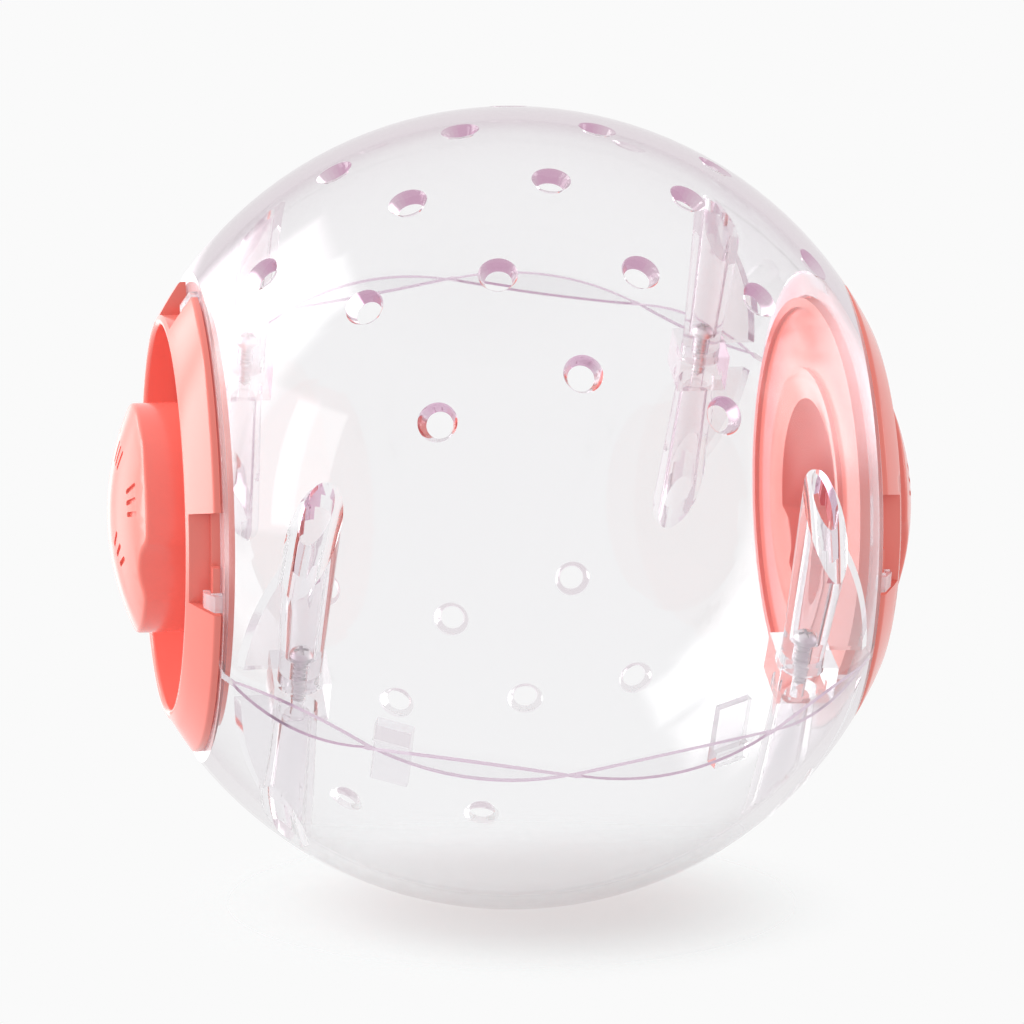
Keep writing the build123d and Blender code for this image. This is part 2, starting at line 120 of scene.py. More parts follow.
class ClearShellSettings(bpy.types.PropertyGroup):
    """Finish of the two clear half shells."""

    tint: bpy.props.FloatVectorProperty(
        name="Tint", description="Colour that the wall lets through, seen straight on",
        subtype="COLOR", size=4, min=0.0, max=1.0, default=(0.970, 0.970, 0.975, 1.0))
    # Partly painted shade: the outline colour stands for dark surroundings reflected there, besides
    # the longer way through the wall.
    grazing_shade_tint: bpy.props.FloatVectorProperty(
        name="Grazing tint", description="Colour that the wall lets through along its outline",
        subtype="COLOR", size=4, min=0.0, max=1.0, default=(0.30, 0.24, 0.28, 1.0))
    # Painted glow: the hole walls are tinted mauve for the coral caps' light piped along the
    # plastic, over the plastic's own tint seen along it.
    hole_glow_tint: bpy.props.FloatVectorProperty(
        name="Hole tint", description="Colour of the air holes' walls, seen along the plastic",
        subtype="COLOR", size=4, min=0.0, max=1.0, default=(0.58, 0.27, 0.45, 1.0))
    trapped_tint: bpy.props.FloatVectorProperty(
        name="Trapped tint", description="Colour of light that has run along inside the wall",
        subtype="COLOR", size=4, min=0.0, max=1.0, default=(0.78, 0.69, 0.74, 1.0))
    # Painted light: a paler tint near the bottom stands for the pale floor's light on the wall.
    floor_lit_tint: bpy.props.FloatVectorProperty(
        name="Low tint", description="Colour of such light near the bottom, over the pale floor",
        subtype="COLOR", size=4, min=0.0, max=1.0, default=(0.93, 0.92, 0.925, 1.0))
    trapped_reach: bpy.props.FloatProperty(
        name="Trapped reach", description="Longest way that such light runs inside the wall",
        subtype="DISTANCE", unit="LENGTH", default=25 * MM)
    shadow_tint: bpy.props.FloatVectorProperty(
        name="Shadow tint", description="Share of lamp light that each face lets through",
        subtype="COLOR", size=4, min=0.0, max=1.0, default=(0.97, 0.97, 0.97, 1.0))
    # Painted light: the collars are paler, pinker and less clear, for the white and pink streaks of
    # light seen there, over the shade between cap and collar.
    collar_sheen_tint: bpy.props.FloatVectorProperty(
        name="Collar tint", description="Colour of the hazier collars behind the caps",
        subtype="COLOR", size=4, min=0.0, max=1.0, default=(0.95, 0.86, 0.89, 1.0))
    # Painted glow: the seam edges are tinted mauve for the coral caps' light piped along the
    # plastic, on top of the plastic's own tint along its edges.
    seam_glow_tint: bpy.props.FloatVectorProperty(
        name="Seam tint", description="Colour of the two halves' edges along the wavy seam",
        subtype="COLOR", size=4, min=0.0, max=1.0, default=(0.70, 0.47, 0.66, 1.0))
    fitting_tint: bpy.props.FloatVectorProperty(
        name="Fitting tint", description="Colour of the thin posts, webs, sockets and tabs inside",
        subtype="COLOR", size=4, min=0.0, max=1.0, default=(0.96, 0.94, 0.96, 1.0))
    roughness: bpy.props.FloatProperty(
        name="Roughness", description="Haze of the polished surface",
        subtype="FACTOR", default=0.02, min=0.0, max=1.0)
    sharp_angle: bpy.props.FloatProperty(
        name="Sharp angle", description="Edges that bend by more than this stay sharp",
        subtype="ANGLE", default=math.radians(25))


class CapSettings(bpy.types.PropertyGroup):
    """Finish of the two coral caps."""

    colour: bpy.props.FloatVectorProperty(
        name="Colour", description="Colour of the moulded plastic",
        subtype="COLOR", size=4, min=0.0, max=1.0, default=(0.86, 0.222, 0.182, 1.0))
    deep_colour: bpy.props.FloatVectorProperty(
        name="Deep colour", description="Colour where the plastic's flow was denser",
        subtype="COLOR", size=4, min=0.0, max=1.0, default=(0.83, 0.195, 0.158, 1.0))
    roughness: bpy.props.FloatProperty(
        name="Roughness", description="Roughness of the satin surface",
        subtype="FACTOR", default=0.16, min=0.0, max=1.0)
    grain_size: bpy.props.FloatProperty(
        name="Grain size", description="Spacing of the moulded surface's fine grain",
        subtype="DISTANCE", unit="LENGTH", default=0.35 * MM)
    sharp_angle: bpy.props.FloatProperty(
        name="Sharp angle", description="Edges that bend by more than this stay sharp",
        subtype="ANGLE", default=math.radians(30))


class ScrewSettings(bpy.types.PropertyGroup):
    """Threads and finish of the four screws in the posts."""

    colour: bpy.props.FloatVectorProperty(
        name="Colour", description="Colour of the plated steel",
        subtype="COLOR", size=4, min=0.0, max=1.0, default=(0.93, 0.92, 0.92, 1.0))
    dull_colour: bpy.props.FloatVectorProperty(
        name="Dull colour", description="Colour of the plating's dull patches",
        subtype="COLOR", size=4, min=0.0, max=1.0, default=(0.82, 0.81, 0.81, 1.0))
    thread_radius: bpy.props.FloatProperty(
        name="Thread radius", description="Radius of the line that the thread's ridge follows",
        subtype="DISTANCE", unit="LENGTH", default=1.12 * MM)
    thread_ridge: bpy.props.FloatProperty(
        name="Thread ridge", description="Size of the ridge's three-cornered section",
        subtype="DISTANCE", unit="LENGTH", default=0.22 * MM)
    thread_pitch: bpy.props.FloatProperty(
        name="Thread pitch", description="Rise of the thread in one turn",
        subtype="DISTANCE", unit="LENGTH", default=0.95 * MM)
    thread_length: bpy.props.FloatProperty(
        name="Thread length", description="Length of the threaded part of a screw",
        subtype="DISTANCE", unit="LENGTH", default=7.6 * MM)
    point_length: bpy.props.FloatProperty(
        name="Point length", description="Bare point below the thread",
        subtype="DISTANCE", unit="LENGTH", default=1.4 * MM)


class StageSettings(bpy.types.PropertyGroup):
    """Camera, floor and light."""

    distance: bpy.props.FloatProperty(
        name="Distance", description="Camera's distance from the middle of the ball",
        subtype="DISTANCE", unit="LENGTH", default=0.850)
    yaw: bpy.props.FloatProperty(
        name="Yaw", description="How far the camera stands round towards the left cap",
        subtype="ANGLE", default=math.radians(10.62))
    elevation: bpy.props.FloatProperty(
        name="Elevation", description="Camera's height, as an angle seen from the ball",
        subtype="ANGLE", default=math.radians(8.44))
    lens: bpy.props.FloatProperty(
        name="Lens", description="Focal length on a 36 mm sensor", default=165.1)
    shift_x: bpy.props.FloatProperty(
        name="Shift across", description="Camera shift across the frame", default=0.0007)
    shift_y: bpy.props.FloatProperty(
        name="Shift up", description="Camera shift up the frame", default=-0.0042)
    background: bpy.props.FloatVectorProperty(
        name="Background", description="Colour behind the ball",
        subtype="COLOR", size=4, min=0.0, max=1.0, default=(0.956, 0.956, 0.956, 1.0))
    fill: bpy.props.FloatProperty(
        name="Fill", description="Strength of the soft light from all round", default=0.80)
    floor_colour: bpy.props.FloatVectorProperty(
        name="Floor colour", description="Colour of the pale floor",
        subtype="COLOR", size=4, min=0.0, max=1.0, default=(0.84, 0.89, 0.895, 1.0))
    floor_radius: bpy.props.FloatProperty(
        name="Floor radius", description="Size of the round floor",
        subtype="DISTANCE", unit="LENGTH", default=0.075)


class HamsterBallSettings(bpy.types.PropertyGroup):
    """All settings of the hamster ball."""

    shells: bpy.props.PointerProperty(name="Clear shells", type=ClearShellSettings)
    caps: bpy.props.PointerProperty(name="Caps", type=CapSettings)
    screws: bpy.props.PointerProperty(name="Screws", type=ScrewSettings)
    stage: bpy.props.PointerProperty(name="Stage", type=StageSettings)


def settings():
    """The add-on's settings on the scene."""
    return bpy.context.scene.hamster_ball


def link_object(name, data):
    """A new object in the scene."""
    piece = bpy.data.objects.new(name, data)
    bpy.context.scene.collection.objects.link(piece)
    return piece


def merged_copy(node, name):
    """A copy of a CAD node's mesh with its loose triangles joined, as a new object."""
    mesh = frame["nodes"][node].data.copy()
    mesh.name = name
    mesh.materials.clear()
    work = bmesh.new()
    work.from_mesh(mesh)
    bmesh.ops.remove_doubles(work, verts=work.verts, dist=MERGE_DISTANCE)
    work.to_mesh(mesh)
    work.free()
    return link_object(name, mesh)


def mark_sharp_edges(mesh, sharp_angle):
    """Smooth faces, with sharp edges wherever the surface bends by more than the angle."""
    work = bmesh.new()
    work.from_mesh(mesh)
    for face in work.faces:
        face.smooth = True
    for edge in work.edges:
        edge.smooth = len(edge.link_faces) == 2 and edge.calc_face_angle() < sharp_angle
    work.to_mesh(mesh)
    work.free()


def sphere_side(mesh, face):
    """1 for a face on the ball's outer sphere, -1 on its inner one and 0 elsewhere."""
    distances = [mesh.vertices[i].co.length for i in face.vertices]
    if all(abs(d - BALL_RADIUS) < ON_SURFACE for d in distances):
        return 1
    if all(abs(d - BALL_RADIUS + WALL) < ON_SURFACE for d in distances):
        return -1
    return 0


def set_round_normals(mesh):
    """Exact sphere normals on the ball's outer and inner faces, so that they shine evenly."""
    normals = [Vector(n.vector) for n in mesh.corner_normals]
    for face in mesh.polygons:
        side = sphere_side(mesh, face)
        if side:
            for corner in face.loop_indices:
                place = mesh.vertices[mesh.loops[corner].vertex_index].co
                normals[corner] = side * place.normalized()
    mesh.normals_split_custom_set(normals)


def seam_height(place):
    """Height of a place above the plane of the parting seam."""
    return place.z * math.cos(SEAM_ROLL) - place.y * math.sin(SEAM_ROLL)


def shell_area(mesh, face):
    """Which part of a clear shell a face belongs to."""
    place = face.center
    if sphere_side(mesh, face):
        return "wall"
    if abs(place.x) > COLLAR_BACK:
        return "collar"
    if place.length < BALL_RADIUS - WALL - FITTING_DEPTH:
        return "fitting"
    if abs(face.normal.dot(place.normalized())) > WALL_FACING:
        return "wall"
    return "seam" if abs(seam_height(place)) < SEAM_BAND else "hole"


def hole_glow_share(face):
    """How much of the painted glow a hole's wall shows. It is the tint of the plastic's cut edges
    with the coral caps' light piped along them, painted strongest on the hole's upper side and
    weaker in the ball's lower half.
    """
    outward = face.center.normalized()
    upward = Vector((0, 0, 1)) - outward.z * outward
    share = HOLE_GLOW_SIDE - HOLE_GLOW_RISE * face.normal.dot(upward.normalized())
    share = min(1.0, max(HOLE_GLOW_LEAST, share))
    return share if seam_height(face.center) > 0 else LOWER_HOLE_GLOW * share


def mark_hole_glow(mesh, areas):
    """Face attribute that paints the glow of piped cap light into the walls of the holes."""
    shares = [
        hole_glow_share(face) if area == "hole" else 0.0
        for face, area in zip(mesh.polygons, areas)
    ]
    mesh.attributes.new("hole_glow", "FLOAT", "FACE").data.foreach_set("value", shares)


def add_node(tree, kind, **values):
    """A node in a tree, with its properties and its inputs' plain values set by name."""
    node = tree.nodes.new(kind)
    for name, value in values.items():
        if name.startswith("in_"):
            node.inputs[name[3:].replace("_", " ")].default_value = value
        else:
            setattr(node, name, value)
    return node


def new_material(name):
    """An empty node material and its tree."""
    material = bpy.data.materials.new(name)
    material.use_nodes = True
    material.node_tree.nodes.clear()
    return material, material.node_tree


def add_mix(tree, share, first, second):
    """A mix of two colours by a share; each is a plain colour or a socket."""
    mix = add_node(tree, "ShaderNodeMix", data_type="RGBA")
    for socket, value in ((mix.inputs[0], share), (mix.inputs[6], first), (mix.inputs[7], second)):
        if isinstance(value, bpy.types.NodeSocket):
            tree.links.new(value, socket)
        else:
            socket.default_value = value
    return mix.outputs[2]


def handled_surface_group():
    """Shader group of a moulded or plated surface: its grain, and the haze and scratches of use."""
    group = bpy.data.node_groups.get("handled_surface")
    if group:
        return group
    group = bpy.data.node_groups.new("handled_surface", "ShaderNodeTree")
    for name, kind in (
            ("Place", "NodeSocketVector"), ("Grain size", "NodeSocketFloat"),
            ("Roughness", "NodeSocketFloat"), ("Handling", "NodeSocketFloat")):
        group.interface.new_socket(name, in_out="INPUT", socket_type=kind)
    for name in ("Roughness", "Height", "Haze"):
        group.interface.new_socket(name, in_out="OUTPUT", socket_type="NodeSocketFloat")
    link = group.links.new
    given = group.nodes.new("NodeGroupInput")
    result = group.nodes.new("NodeGroupOutput")
    fineness = add_node(group, "ShaderNodeMath", operation="DIVIDE")
    fineness.inputs[0].default_value = 1.0
    link(given.outputs["Grain size"], fineness.inputs[1])
    grain = add_node(group, "ShaderNodeTexNoise", in_Detail=2.0)
    link(given.outputs["Place"], grain.inputs["Vector"])
    link(fineness.outputs[0], grain.inputs["Scale"])
    haze = add_node(
        group, "ShaderNodeTexNoise", in_Scale=HAZE_SCALE, in_Detail=4.0, in_Roughness=0.6)
    link(given.outputs["Place"], haze.inputs["Vector"])
    along = add_node(
        group, "ShaderNodeMapping", in_Rotation=SCRATCH_TURN, in_Scale=SCRATCH_SCALE)
    link(given.outputs["Place"], along.inputs["Vector"])
    scratch = add_node(group, "ShaderNodeTexNoise", in_Scale=1.0, in_Detail=1.0)
    link(along.outputs[0], scratch.inputs["Vector"])
    line = add_node(
        group, "ShaderNodeMapRange", in_From_Min=SCRATCH_START, in_From_Max=SCRATCH_FULL,
        in_To_Min=0.0, in_To_Max=1.0)
    link(scratch.outputs["Fac"], line.inputs["Value"])
    wear = add_node(group, "ShaderNodeMath", operation="ADD")
    link(haze.outputs["Fac"], wear.inputs[0])
    link(line.outputs["Result"], wear.inputs[1])
    handled = add_node(group, "ShaderNodeMath", operation="MULTIPLY_ADD")
    link(wear.outputs[0], handled.inputs[0])
    link(given.outputs["Handling"], handled.inputs[1])
    link(given.outputs["Roughness"], handled.inputs[2])
    link(handled.outputs[0], result.inputs["Roughness"])
    link(grain.outputs["Fac"], result.inputs["Height"])
    link(haze.outputs["Fac"], result.inputs["Haze"])
    return group


def add_handled_surface(tree, grain_size, roughness, handling):
    """The handled surface group in a material, on Object coordinates."""
    place = add_node(tree, "ShaderNodeTexCoord")
    surface = add_node(
        tree, "ShaderNodeGroup", node_tree=handled_surface_group(), in_Grain_size=grain_size,
        in_Roughness=roughness, in_Handling=handling)
    tree.links.new(place.outputs["Object"], surface.inputs["Place"])
    return surface


def finish_clear(tree, plastic, look, trapped_tint):
    """Let lamps, soft light and inner reflections through a clear plastic, with a paler tint
    painted on the inner reflections near the bottom for the pale floor's light, and end its tree.
    """
    link = tree.links.new
    path = add_node(tree, "ShaderNodeLightPath")
    along = add_node(
        tree, "ShaderNodeMapRange", in_From_Min=look.trapped_reach,
        in_From_Max=TRAPPED_FADE * look.trapped_reach, in_To_Min=0.0, in_To_Max=1.0)
    link(path.outputs["Ray Length"], along.inputs["Value"])
    # Painted light: towards the bottom the trapped tint gives way to a paler one, for the pale
    # floor's light on the wall.
    place = add_node(tree, "ShaderNodeTexCoord")
    axes = add_node(tree, "ShaderNodeSeparateXYZ")
    link(place.outputs["Object"], axes.inputs[0])
    height = add_node(
        tree, "ShaderNodeMapRange", in_From_Min=FLOOR_LIT_FULL, in_From_Max=FLOOR_LIT_TOP,
        in_To_Min=0.0, in_To_Max=1.0)
    link(axes.outputs["Z"], height.inputs["Value"])
    tint = add_mix(tree, height.outputs["Result"], look.floor_lit_tint, trapped_tint)
    trapped = add_node(tree, "ShaderNodeBsdfTransparent")
    passed_tint = add_mix(tree, along.outputs["Result"], tint, look.shadow_tint)
    link(passed_tint, trapped.inputs["Color"])
    lit = add_node(tree, "ShaderNodeBsdfTransparent", in_Color=look.shadow_tint)
    surface = plastic
    for kind, passed in (
            ("Is Reflection Ray", trapped), ("Is Diffuse Ray", lit), ("Is Shadow Ray", lit)):
        mix = add_node(tree, "ShaderNodeMixShader")
        link(path.outputs[kind], mix.inputs[0])
        link(surface.outputs[0], mix.inputs[1])
        link(passed.outputs[0], mix.inputs[2])
        surface = mix
    out = add_node(tree, "ShaderNodeOutputMaterial")
    link(surface.outputs[0], out.inputs["Surface"])


def clear_plastic():
    """Clear moulded plastic, greyer along its outline and mauve in the walls of its holes. The grey
    is the longer way through, with painted shade for dark surroundings reflected there. The mauve
    is a painted glow of the coral caps' light piped along the plastic.
    """
    look = settings().shells
    material, tree = new_material("clear_plastic_finish")
    link = tree.links.new
    handling = 0.02
    handled = add_handled_surface(
        tree, grain_size=0.6 * MM, roughness=look.roughness - handling / 2, handling=handling)
    # Painted shade: the wall darkens towards its outline, for dark surroundings reflected there as
    # well as the longer way through.
    facing = add_node(tree, "ShaderNodeLayerWeight", in_Blend=0.5)
    outline_shade = add_node(tree, "ShaderNodeMath", operation="POWER")
    outline_shade.inputs[1].default_value = GRAZING_SHADE_POWER
    link(facing.outputs["Facing"], outline_shade.inputs[0])
    wall = add_mix(tree, outline_shade.outputs[0], look.tint, look.grazing_shade_tint)
    # Painted glow of piped cap light on the hole walls, strongest on their upper sides.
    hole = add_node(tree, "ShaderNodeAttribute", attribute_name="hole_glow")
    plastic = add_node(
        tree, "ShaderNodeBsdfPrincipled", in_Transmission_Weight=1.0, in_IOR=PLASTIC_IOR)
    link(add_mix(tree, hole.outputs["Fac"], wall, look.hole_glow_tint), plastic.inputs["Base Color"])
    link(handled.outputs["Roughness"], plastic.inputs["Roughness"])
    finish_clear(tree, plastic, look, look.trapped_tint)
    return material


def tinted_plastic(
        name, tint, trapped_tint, grain_size, roughness, handling, transmission, ior=PLASTIC_IOR):
    """A part of the clear moulding that has one tint all over."""
    material, tree = new_material(name)
    handled = add_handled_surface(tree, grain_size, roughness, handling)
    plastic = add_node(
        tree, "ShaderNodeBsdfPrincipled", in_Base_Color=tint,
        in_Transmission_Weight=transmission, in_IOR=ior)
    tree.links.new(handled.outputs["Roughness"], plastic.inputs["Roughness"])
    finish_clear(tree, plastic, settings().shells, trapped_tint)
    return material


def collar_sheen_plastic():
    """The clear plastic where the collars and their claws take the caps, paler, pinker and less
    clear: painted light for the white and pink streaks seen there, over the shade between cap and
    collar.
    """
    look = settings().shells
    return tinted_plastic(
        "collar_sheen_finish", look.collar_sheen_tint, look.trapped_tint, grain_size=0.4 * MM,
        roughness=0.06, handling=0.10, transmission=0.7)


def fitting_plastic():
    """The clear plastic in the thin posts, webs, sockets and tabs inside."""
    look = settings().shells
    return tinted_plastic(
        "fitting_plastic_finish", look.fitting_tint, look.fitting_tint, grain_size=0.6 * MM,
        roughness=look.roughness, handling=0.06, transmission=0.88, ior=FITTING_IOR)


def seam_glow_plastic():
    """The clear plastic on the halves' edges, which gather its tint along the seam, with a painted
    glow of the coral caps' light piped along them.
    """
    look = settings().shells
    return tinted_plastic(
        "seam_glow_finish", look.seam_glow_tint, look.trapped_tint, grain_size=0.4 * MM,
        roughness=0.10, handling=0.10, transmission=0.5)


def coral_plastic():
    """Satin coral plastic with a fine moulded grain."""
    look = settings().caps
    material, tree = new_material("coral_plastic_finish")
    link = tree.links.new
    handling = 0.08
    handled = add_handled_surface(
        tree, look.grain_size, roughness=look.roughness - handling / 2, handling=handling)
    bump = add_node(tree, "ShaderNodeBump", in_Strength=0.06, in_Distance=0.05 * MM)
    link(handled.outputs["Height"], bump.inputs["Height"])
    plastic = add_node(tree, "ShaderNodeBsdfPrincipled", in_IOR=CORAL_IOR)
    flow = add_mix(tree, handled.outputs["Haze"], look.colour, look.deep_colour)
    link(flow, plastic.inputs["Base Color"])
    link(handled.outputs["Roughness"], plastic.inputs["Roughness"])
    link(bump.outputs["Normal"], plastic.inputs["Normal"])
    out = add_node(tree, "ShaderNodeOutputMaterial")
    link(plastic.outputs[0], out.inputs["Surface"])
    return material


def screw_steel():
    """Zinc-plated steel with dull patches."""
    look = settings().screws
    material, tree = new_material("screw_steel_finish")
    link = tree.links.new
    handled = add_handled_surface(tree, grain_size=0.12 * MM, roughness=0.28, handling=0.18)
    bump = add_node(tree, "ShaderNodeBump", in_Strength=0.15, in_Distance=0.02 * MM)
    link(handled.outputs["Height"], bump.inputs["Height"])
    steel = add_node(tree, "ShaderNodeBsdfPrincipled", in_Metallic=1.0)
    plating = add_mix(tree, handled.outputs["Haze"], look.colour, look.dull_colour)
    link(plating, steel.inputs["Base Color"])
    link(handled.outputs["Roughness"], steel.inputs["Roughness"])
    link(bump.outputs["Normal"], steel.inputs["Normal"])
    out = add_node(tree, "ShaderNodeOutputMaterial")
    link(steel.outputs[0], out.inputs["Surface"])
    return material


def settle(piece, node):
    """Let a piece stand for a CAD node: put it on the node's body and hide the node."""
    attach(piece, BODY_OF[node])
    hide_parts(node)


class MakeClearShells(bpy.types.Operator):
    """Finish the two clear half shells"""

    bl_idname = "hamster_ball.clear_shells"
    bl_label = "Clear shells"

    def execute(self, context):
        wall = clear_plastic()
        finishes = {
            "wall": wall, "hole": wall, "collar": collar_sheen_plastic(), "fitting": fitting_plastic(),
            "seam": seam_glow_plastic(),
        }
        for node in SHELL_NODES:
            piece = merged_copy(node, "clear_" + node)
            mesh = piece.data
            mark_sharp_edges(mesh, settings().shells.sharp_angle)
            areas = [shell_area(mesh, face) for face in mesh.polygons]
            mark_hole_glow(mesh, areas)
            set_round_normals(mesh)
            materials = list(dict.fromkeys(finishes.values()))
            for material in materials:
                mesh.materials.append(material)
            for face, area in zip(mesh.polygons, areas):
                face.material_index = materials.index(finishes[area])
            settle(piece, node)
        return {"FINISHED"}


class MakeCaps(bpy.types.Operator):
    """Finish the two twist-off caps"""

    bl_idname = "hamster_ball.caps"
    bl_label = "Caps"

    def execute(self, context):
        material = coral_plastic()
        for node in CAP_NODES:
            piece = merged_copy(node, "coral_" + node)
            mark_sharp_edges(piece.data, settings().caps.sharp_angle)
            piece.data.materials.append(material)
            settle(piece, node)
        return {"FINISHED"}


def thread_tree():
    """Geometry Nodes that wind a ridged thread up from each point, tilted with the ball's seam."""
    tree = bpy.data.node_groups.new("screw_thread", "GeometryNodeTree")
    tree.interface.new_socket("Geometry", in_out="INPUT", socket_type="NodeSocketGeometry")
    for name in ("Radius", "Ridge", "Pitch", "Length", "Tilt"):
        tree.interface.new_socket(name, in_out="INPUT", socket_type="NodeSocketFloat")
    tree.interface.new_socket("Finish", in_out="INPUT", socket_type="NodeSocketMaterial")
    tree.interface.new_socket("Geometry", in_out="OUTPUT", socket_type="NodeSocketGeometry")
    link = tree.links.new
    given = tree.nodes.new("NodeGroupInput")
    result = tree.nodes.new("NodeGroupOutput")
    turns = add_node(tree, "ShaderNodeMath", operation="DIVIDE")
    link(given.outputs["Length"], turns.inputs[0])
    link(given.outputs["Pitch"], turns.inputs[1])
    helix = add_node(tree, "GeometryNodeCurveSpiral", in_Resolution=THREAD_STEPS)
    link(turns.outputs[0], helix.inputs["Rotations"])
    link(given.outputs["Radius"], helix.inputs["Start Radius"])
    link(given.outputs["Radius"], helix.inputs["End Radius"])
    link(given.outputs["Length"], helix.inputs["Height"])
    section = add_node(
        tree, "GeometryNodeCurvePrimitiveCircle", mode="RADIUS", in_Resolution=RIDGE_CORNERS)
    link(given.outputs["Ridge"], section.inputs["Radius"])
    ridge = add_node(tree, "GeometryNodeCurveToMesh", in_Fill_Caps=True)
    link(helix.outputs["Curve"], ridge.inputs["Curve"])
    link(section.outputs["Curve"], ridge.inputs["Profile Curve"])
    tilt = add_node(tree, "ShaderNodeCombineXYZ")
    link(given.outputs["Tilt"], tilt.inputs["X"])
    turned = add_node(tree, "FunctionNodeEulerToRotation")
    link(tilt.outputs[0], turned.inputs[0])
    threads = add_node(tree, "GeometryNodeInstanceOnPoints")
    link(given.outputs["Geometry"], threads.inputs["Points"])
    link(ridge.outputs["Mesh"], threads.inputs["Instance"])
    link(turned.outputs[0], threads.inputs["Rotation"])
    real = add_node(tree, "GeometryNodeRealizeInstances")
    link(threads.outputs[0], real.inputs[0])
    finish = add_node(tree, "GeometryNodeSetMaterial")
    link(real.outputs[0], finish.inputs["Geometry"])
    link(given.outputs["Finish"], finish.inputs["Material"])
    link(finish.outputs[0], result.inputs[0])
    return tree


def screw_point(node):
    """Where a screw's thread starts, just above its bare point."""
    upright = Matrix.Rotation(-SEAM_ROLL, 3, "X")
    places = [upright @ vertex.co for vertex in frame["nodes"][node].data.vertices]
    middle = [(min(p[k] for p in places) + max(p[k] for p in places)) / 2 for k in (0, 1)]
    low = min(p.z for p in places) + settings().screws.point_length
    return Matrix.Rotation(SEAM_ROLL, 3, "X") @ Vector((*middle, low))


class MakeScrews(bpy.types.Operator):
    """Finish the four screws in the posts and wind their threads"""

    bl_idname = "hamster_ball.screws"
    bl_label = "Screws"

    def execute(self, context):
        look = settings().screws
        material = screw_steel()
        for node in SCREW_NODES:
            mesh = frame["nodes"][node].data
            mesh.materials.clear()
            mesh.materials.append(material)
        starts = bpy.data.meshes.new("screw_threads")
        starts.from_pydata([screw_point(node) for node in SCREW_NODES], [], [])
        threads = link_object("screw_threads", starts)
        tree = thread_tree()
        modifier = threads.modifiers.new("thread", "NODES")
        modifier.node_group = tree
        values = {
            "Radius": look.thread_radius, "Ridge": look.thread_ridge, "Pitch": look.thread_pitch,
            "Length": look.thread_length, "Tilt": SEAM_ROLL, "Finish": material,
        }
        for socket in tree.interface.items_tree:
            if socket.in_out == "INPUT" and socket.name in values:
                modifier[socket.identifier] = values[socket.name]
        evaluated = threads.evaluated_get(context.evaluated_depsgraph_get())
        wound = bpy.data.meshes.new_from_object(evaluated)
        threads.modifiers.remove(modifier)
        threads.data = wound
        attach(threads, BODY_OF[SCREW_NODES[0]])
        return {"FINISHED"}


def add_camera(stage):
    """Camera at the photographed angle."""
    data = bpy.data.cameras.new("camera")
    data.lens = stage.lens
    data.sensor_width = SENSOR_WIDTH
    data.shift_x = stage.shift_x
    data.shift_y = stage.shift_y
    camera = link_object("camera", data)
    level = math.cos(stage.elevation)
    place = stage.distance * Vector((
        -level * math.sin(stage.yaw), -level * math.cos(stage.yaw), math.sin(stage.elevation)))
    camera.location = place
    camera.rotation_euler = (-place).to_track_quat("-Z", "Y").to_euler()
    bpy.context.scene.camera = camera


def add_softbox(name, place, size, brightness, edge):
    """A rectangular lamp that faces the ball and fades at its edges, not seen through the wall."""
    data = bpy.data.lights.new(name, "AREA")
    data.shape = "RECTANGLE"
    data.size, data.size_y = size
    data.energy = brightness * math.pi * size[0] * size[1]
    data.use_nodes = True
    tree = data.node_tree
    tree.nodes.clear()
    link = tree.links.new
    spot = add_node(tree, "ShaderNodeNewGeometry")
    offset = add_node(tree, "ShaderNodeVectorMath", operation="SUBTRACT")
    offset.inputs[1].default_value = (0.5, 0.5, 0.0)
    link(spot.outputs["Parametric"], offset.inputs[0])
    away = add_node(tree, "ShaderNodeVectorMath", operation="ABSOLUTE")
    link(offset.outputs[0], away.inputs[0])
    sides = add_node(tree, "ShaderNodeSeparateXYZ")
    link(away.outputs[0], sides.inputs[0])
    outermost = add_node(tree, "ShaderNodeMath", operation="MAXIMUM")
    link(sides.outputs["X"], outermost.inputs[0])
    link(sides.outputs["Y"], outermost.inputs[1])
    fade = add_node(
        tree, "ShaderNodeMapRange", interpolation_type="SMOOTHSTEP",
        in_From_Min=0.5 - edge, in_From_Max=0.5, in_To_Min=1.0, in_To_Max=0.0)
    link(outermost.outputs[0], fade.inputs["Value"])
    glow = add_node(tree, "ShaderNodeEmission", in_Color=WHITE)
    link(fade.outputs["Result"], glow.inputs["Strength"])
    out = add_node(tree, "ShaderNodeOutputLight")
    link(glow.outputs[0], out.inputs["Surface"])
    lamp = link_object(name, data)
    lamp.visible_transmission = False
    lamp.location = place
    lamp.rotation_euler = (-Vector(place)).to_track_quat("-Z", "Y").to_euler()


def add_world(stage):
    """White behind the ball and in its reflections, with softer light on its surfaces."""
    world = bpy.data.worlds.new("studio")
    bpy.context.scene.world = world
    world.use_nodes = True
    tree = world.node_tree
    tree.nodes.clear()
    link = tree.links.new
    path = add_node(tree, "ShaderNodeLightPath")
    seen = add_node(tree, "ShaderNodeMath", operation="MAXIMUM")
    link(path.outputs["Is Camera Ray"], seen.inputs[0])
    link(path.outputs["Is Transmission Ray"], seen.inputs[1])
    shown = add_node(tree, "ShaderNodeMath", operation="MAXIMUM")
    link(seen.outputs[0], shown.inputs[0])
    link(path.outputs["Is Glossy Ray"], shown.inputs[1])
    fill = add_node(tree, "ShaderNodeBackground", in_Color=WHITE, in_Strength=stage.fill)
    back = add_node(tree, "ShaderNodeBackground", in_Color=stage.background, in_Strength=1.0)
    mix = add_node(tree, "ShaderNodeMixShader")
    link(shown.outputs[0], mix.inputs[0])
    link(fill.outputs[0], mix.inputs[1])
    link(back.outputs[0], mix.inputs[2])
    out = add_node(tree, "ShaderNodeOutputWorld")
    link(mix.outputs[0], out.inputs["Surface"])


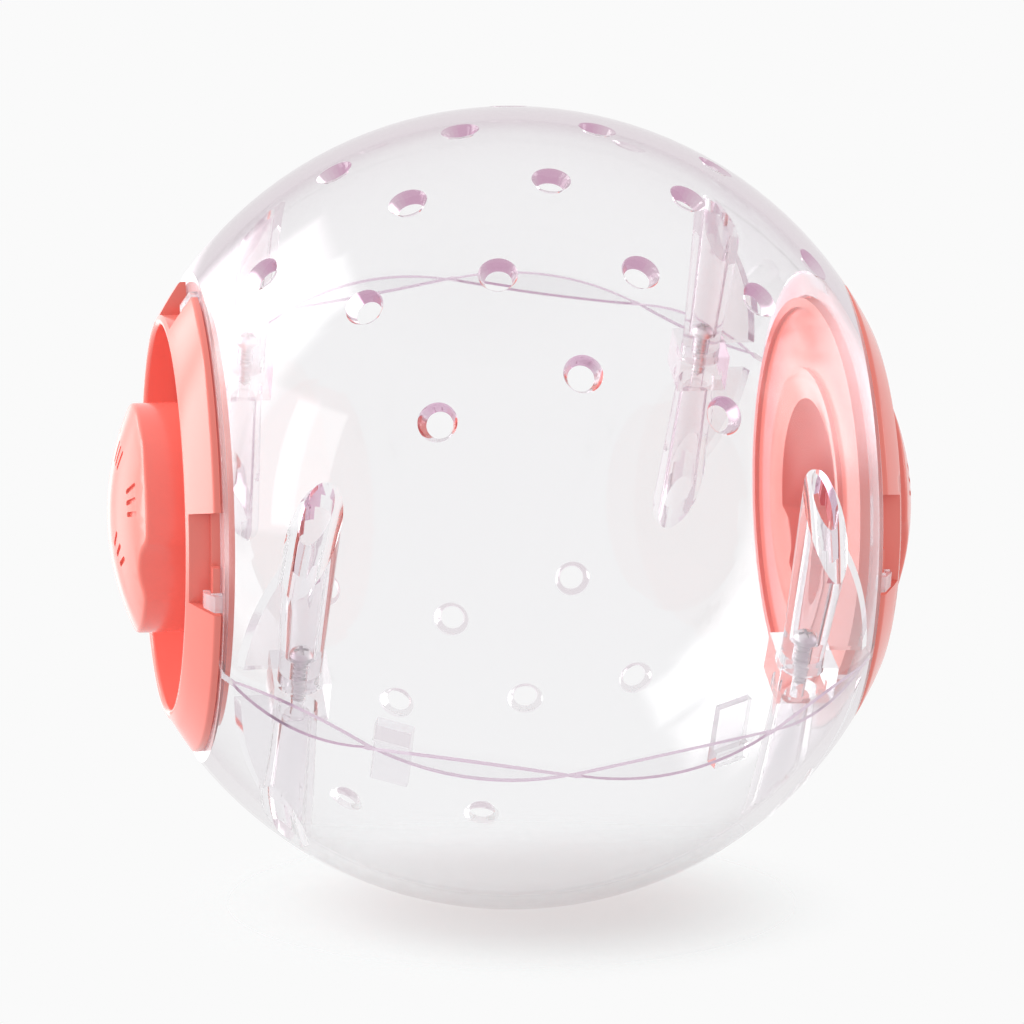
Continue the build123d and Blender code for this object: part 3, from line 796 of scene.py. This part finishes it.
def add_floor(stage):
    """A pale round floor that fades into the background away from the ball."""
    mesh = bpy.data.meshes.new("floor")
    work = bmesh.new()
    bmesh.ops.create_circle(
        work, cap_ends=True, segments=FLOOR_SEGMENTS, radius=stage.floor_radius)
    bmesh.ops.translate(work, verts=work.verts, vec=(0, 0, -BALL_RADIUS))
    work.to_mesh(mesh)
    work.free()
    floor = link_object("floor", mesh)
    material, tree = new_material("pale_floor")
    link = tree.links.new
    place = add_node(tree, "ShaderNodeTexCoord")
    level = add_node(tree, "ShaderNodeVectorMath", operation="MULTIPLY")
    level.inputs[1].default_value = (1.0, 1.0, 0.0)
    link(place.outputs["Object"], level.inputs[0])
    reach = add_node(tree, "ShaderNodeVectorMath", operation="LENGTH")
    link(level.outputs[0], reach.inputs[0])
    fade = add_node(
        tree, "ShaderNodeMapRange", interpolation_type="SMOOTHSTEP",
        in_From_Min=FLOOR_FADE_START * stage.floor_radius,
        in_From_Max=FLOOR_FADE_END * stage.floor_radius, in_To_Min=0.0, in_To_Max=1.0)
    link(reach.outputs["Value"], fade.inputs["Value"])
    paint = add_node(tree, "ShaderNodeBsdfDiffuse", in_Color=stage.floor_colour)
    clear = add_node(tree, "ShaderNodeBsdfTransparent", in_Color=WHITE)
    mix = add_node(tree, "ShaderNodeMixShader")
    link(fade.outputs["Result"], mix.inputs[0])
    link(paint.outputs[0], mix.inputs[1])
    link(clear.outputs[0], mix.inputs[2])
    out = add_node(tree, "ShaderNodeOutputMaterial")
    link(mix.outputs[0], out.inputs["Surface"])
    mesh.materials.append(material)


class MakeStage(bpy.types.Operator):
    """Set up the camera, the floor and the light"""

    bl_idname = "hamster_ball.stage"
    bl_label = "Stage"

    def execute(self, context):
        stage = settings().stage
        context.scene.view_settings.view_transform = "Standard"
        add_camera(stage)
        add_world(stage)
        add_floor(stage)
        for softbox in SOFTBOXES:
            add_softbox(*softbox)
        return {"FINISHED"}


class HamsterBallPanel(bpy.types.Panel):
    """The steps that finish the hamster ball"""

    bl_idname = "VIEW3D_PT_hamster_ball"
    bl_label = "Hamster ball"
    bl_space_type = "VIEW_3D"
    bl_region_type = "UI"
    bl_category = "Hamster ball"

    def draw(self, context):
        for step in STEPS:
            self.layout.operator(step.bl_idname)


STEPS = (MakeClearShells, MakeCaps, MakeScrews, MakeStage)
CLASSES = (
    ClearShellSettings, CapSettings, ScrewSettings, StageSettings, HamsterBallSettings,
    *STEPS, HamsterBallPanel,
)


def register():
    for cls in CLASSES:
        bpy.utils.register_class(cls)
    bpy.types.Scene.hamster_ball = bpy.props.PointerProperty(type=HamsterBallSettings)


def unregister():
    del bpy.types.Scene.hamster_ball
    for cls in reversed(CLASSES):
        bpy.utils.unregister_class(cls)


def main():
    register()
    bpy.ops.hamster_ball.clear_shells()
    bpy.ops.hamster_ball.caps()
    bpy.ops.hamster_ball.screws()
    bpy.ops.hamster_ball.stage()


if __name__ == "__main__":
    main()
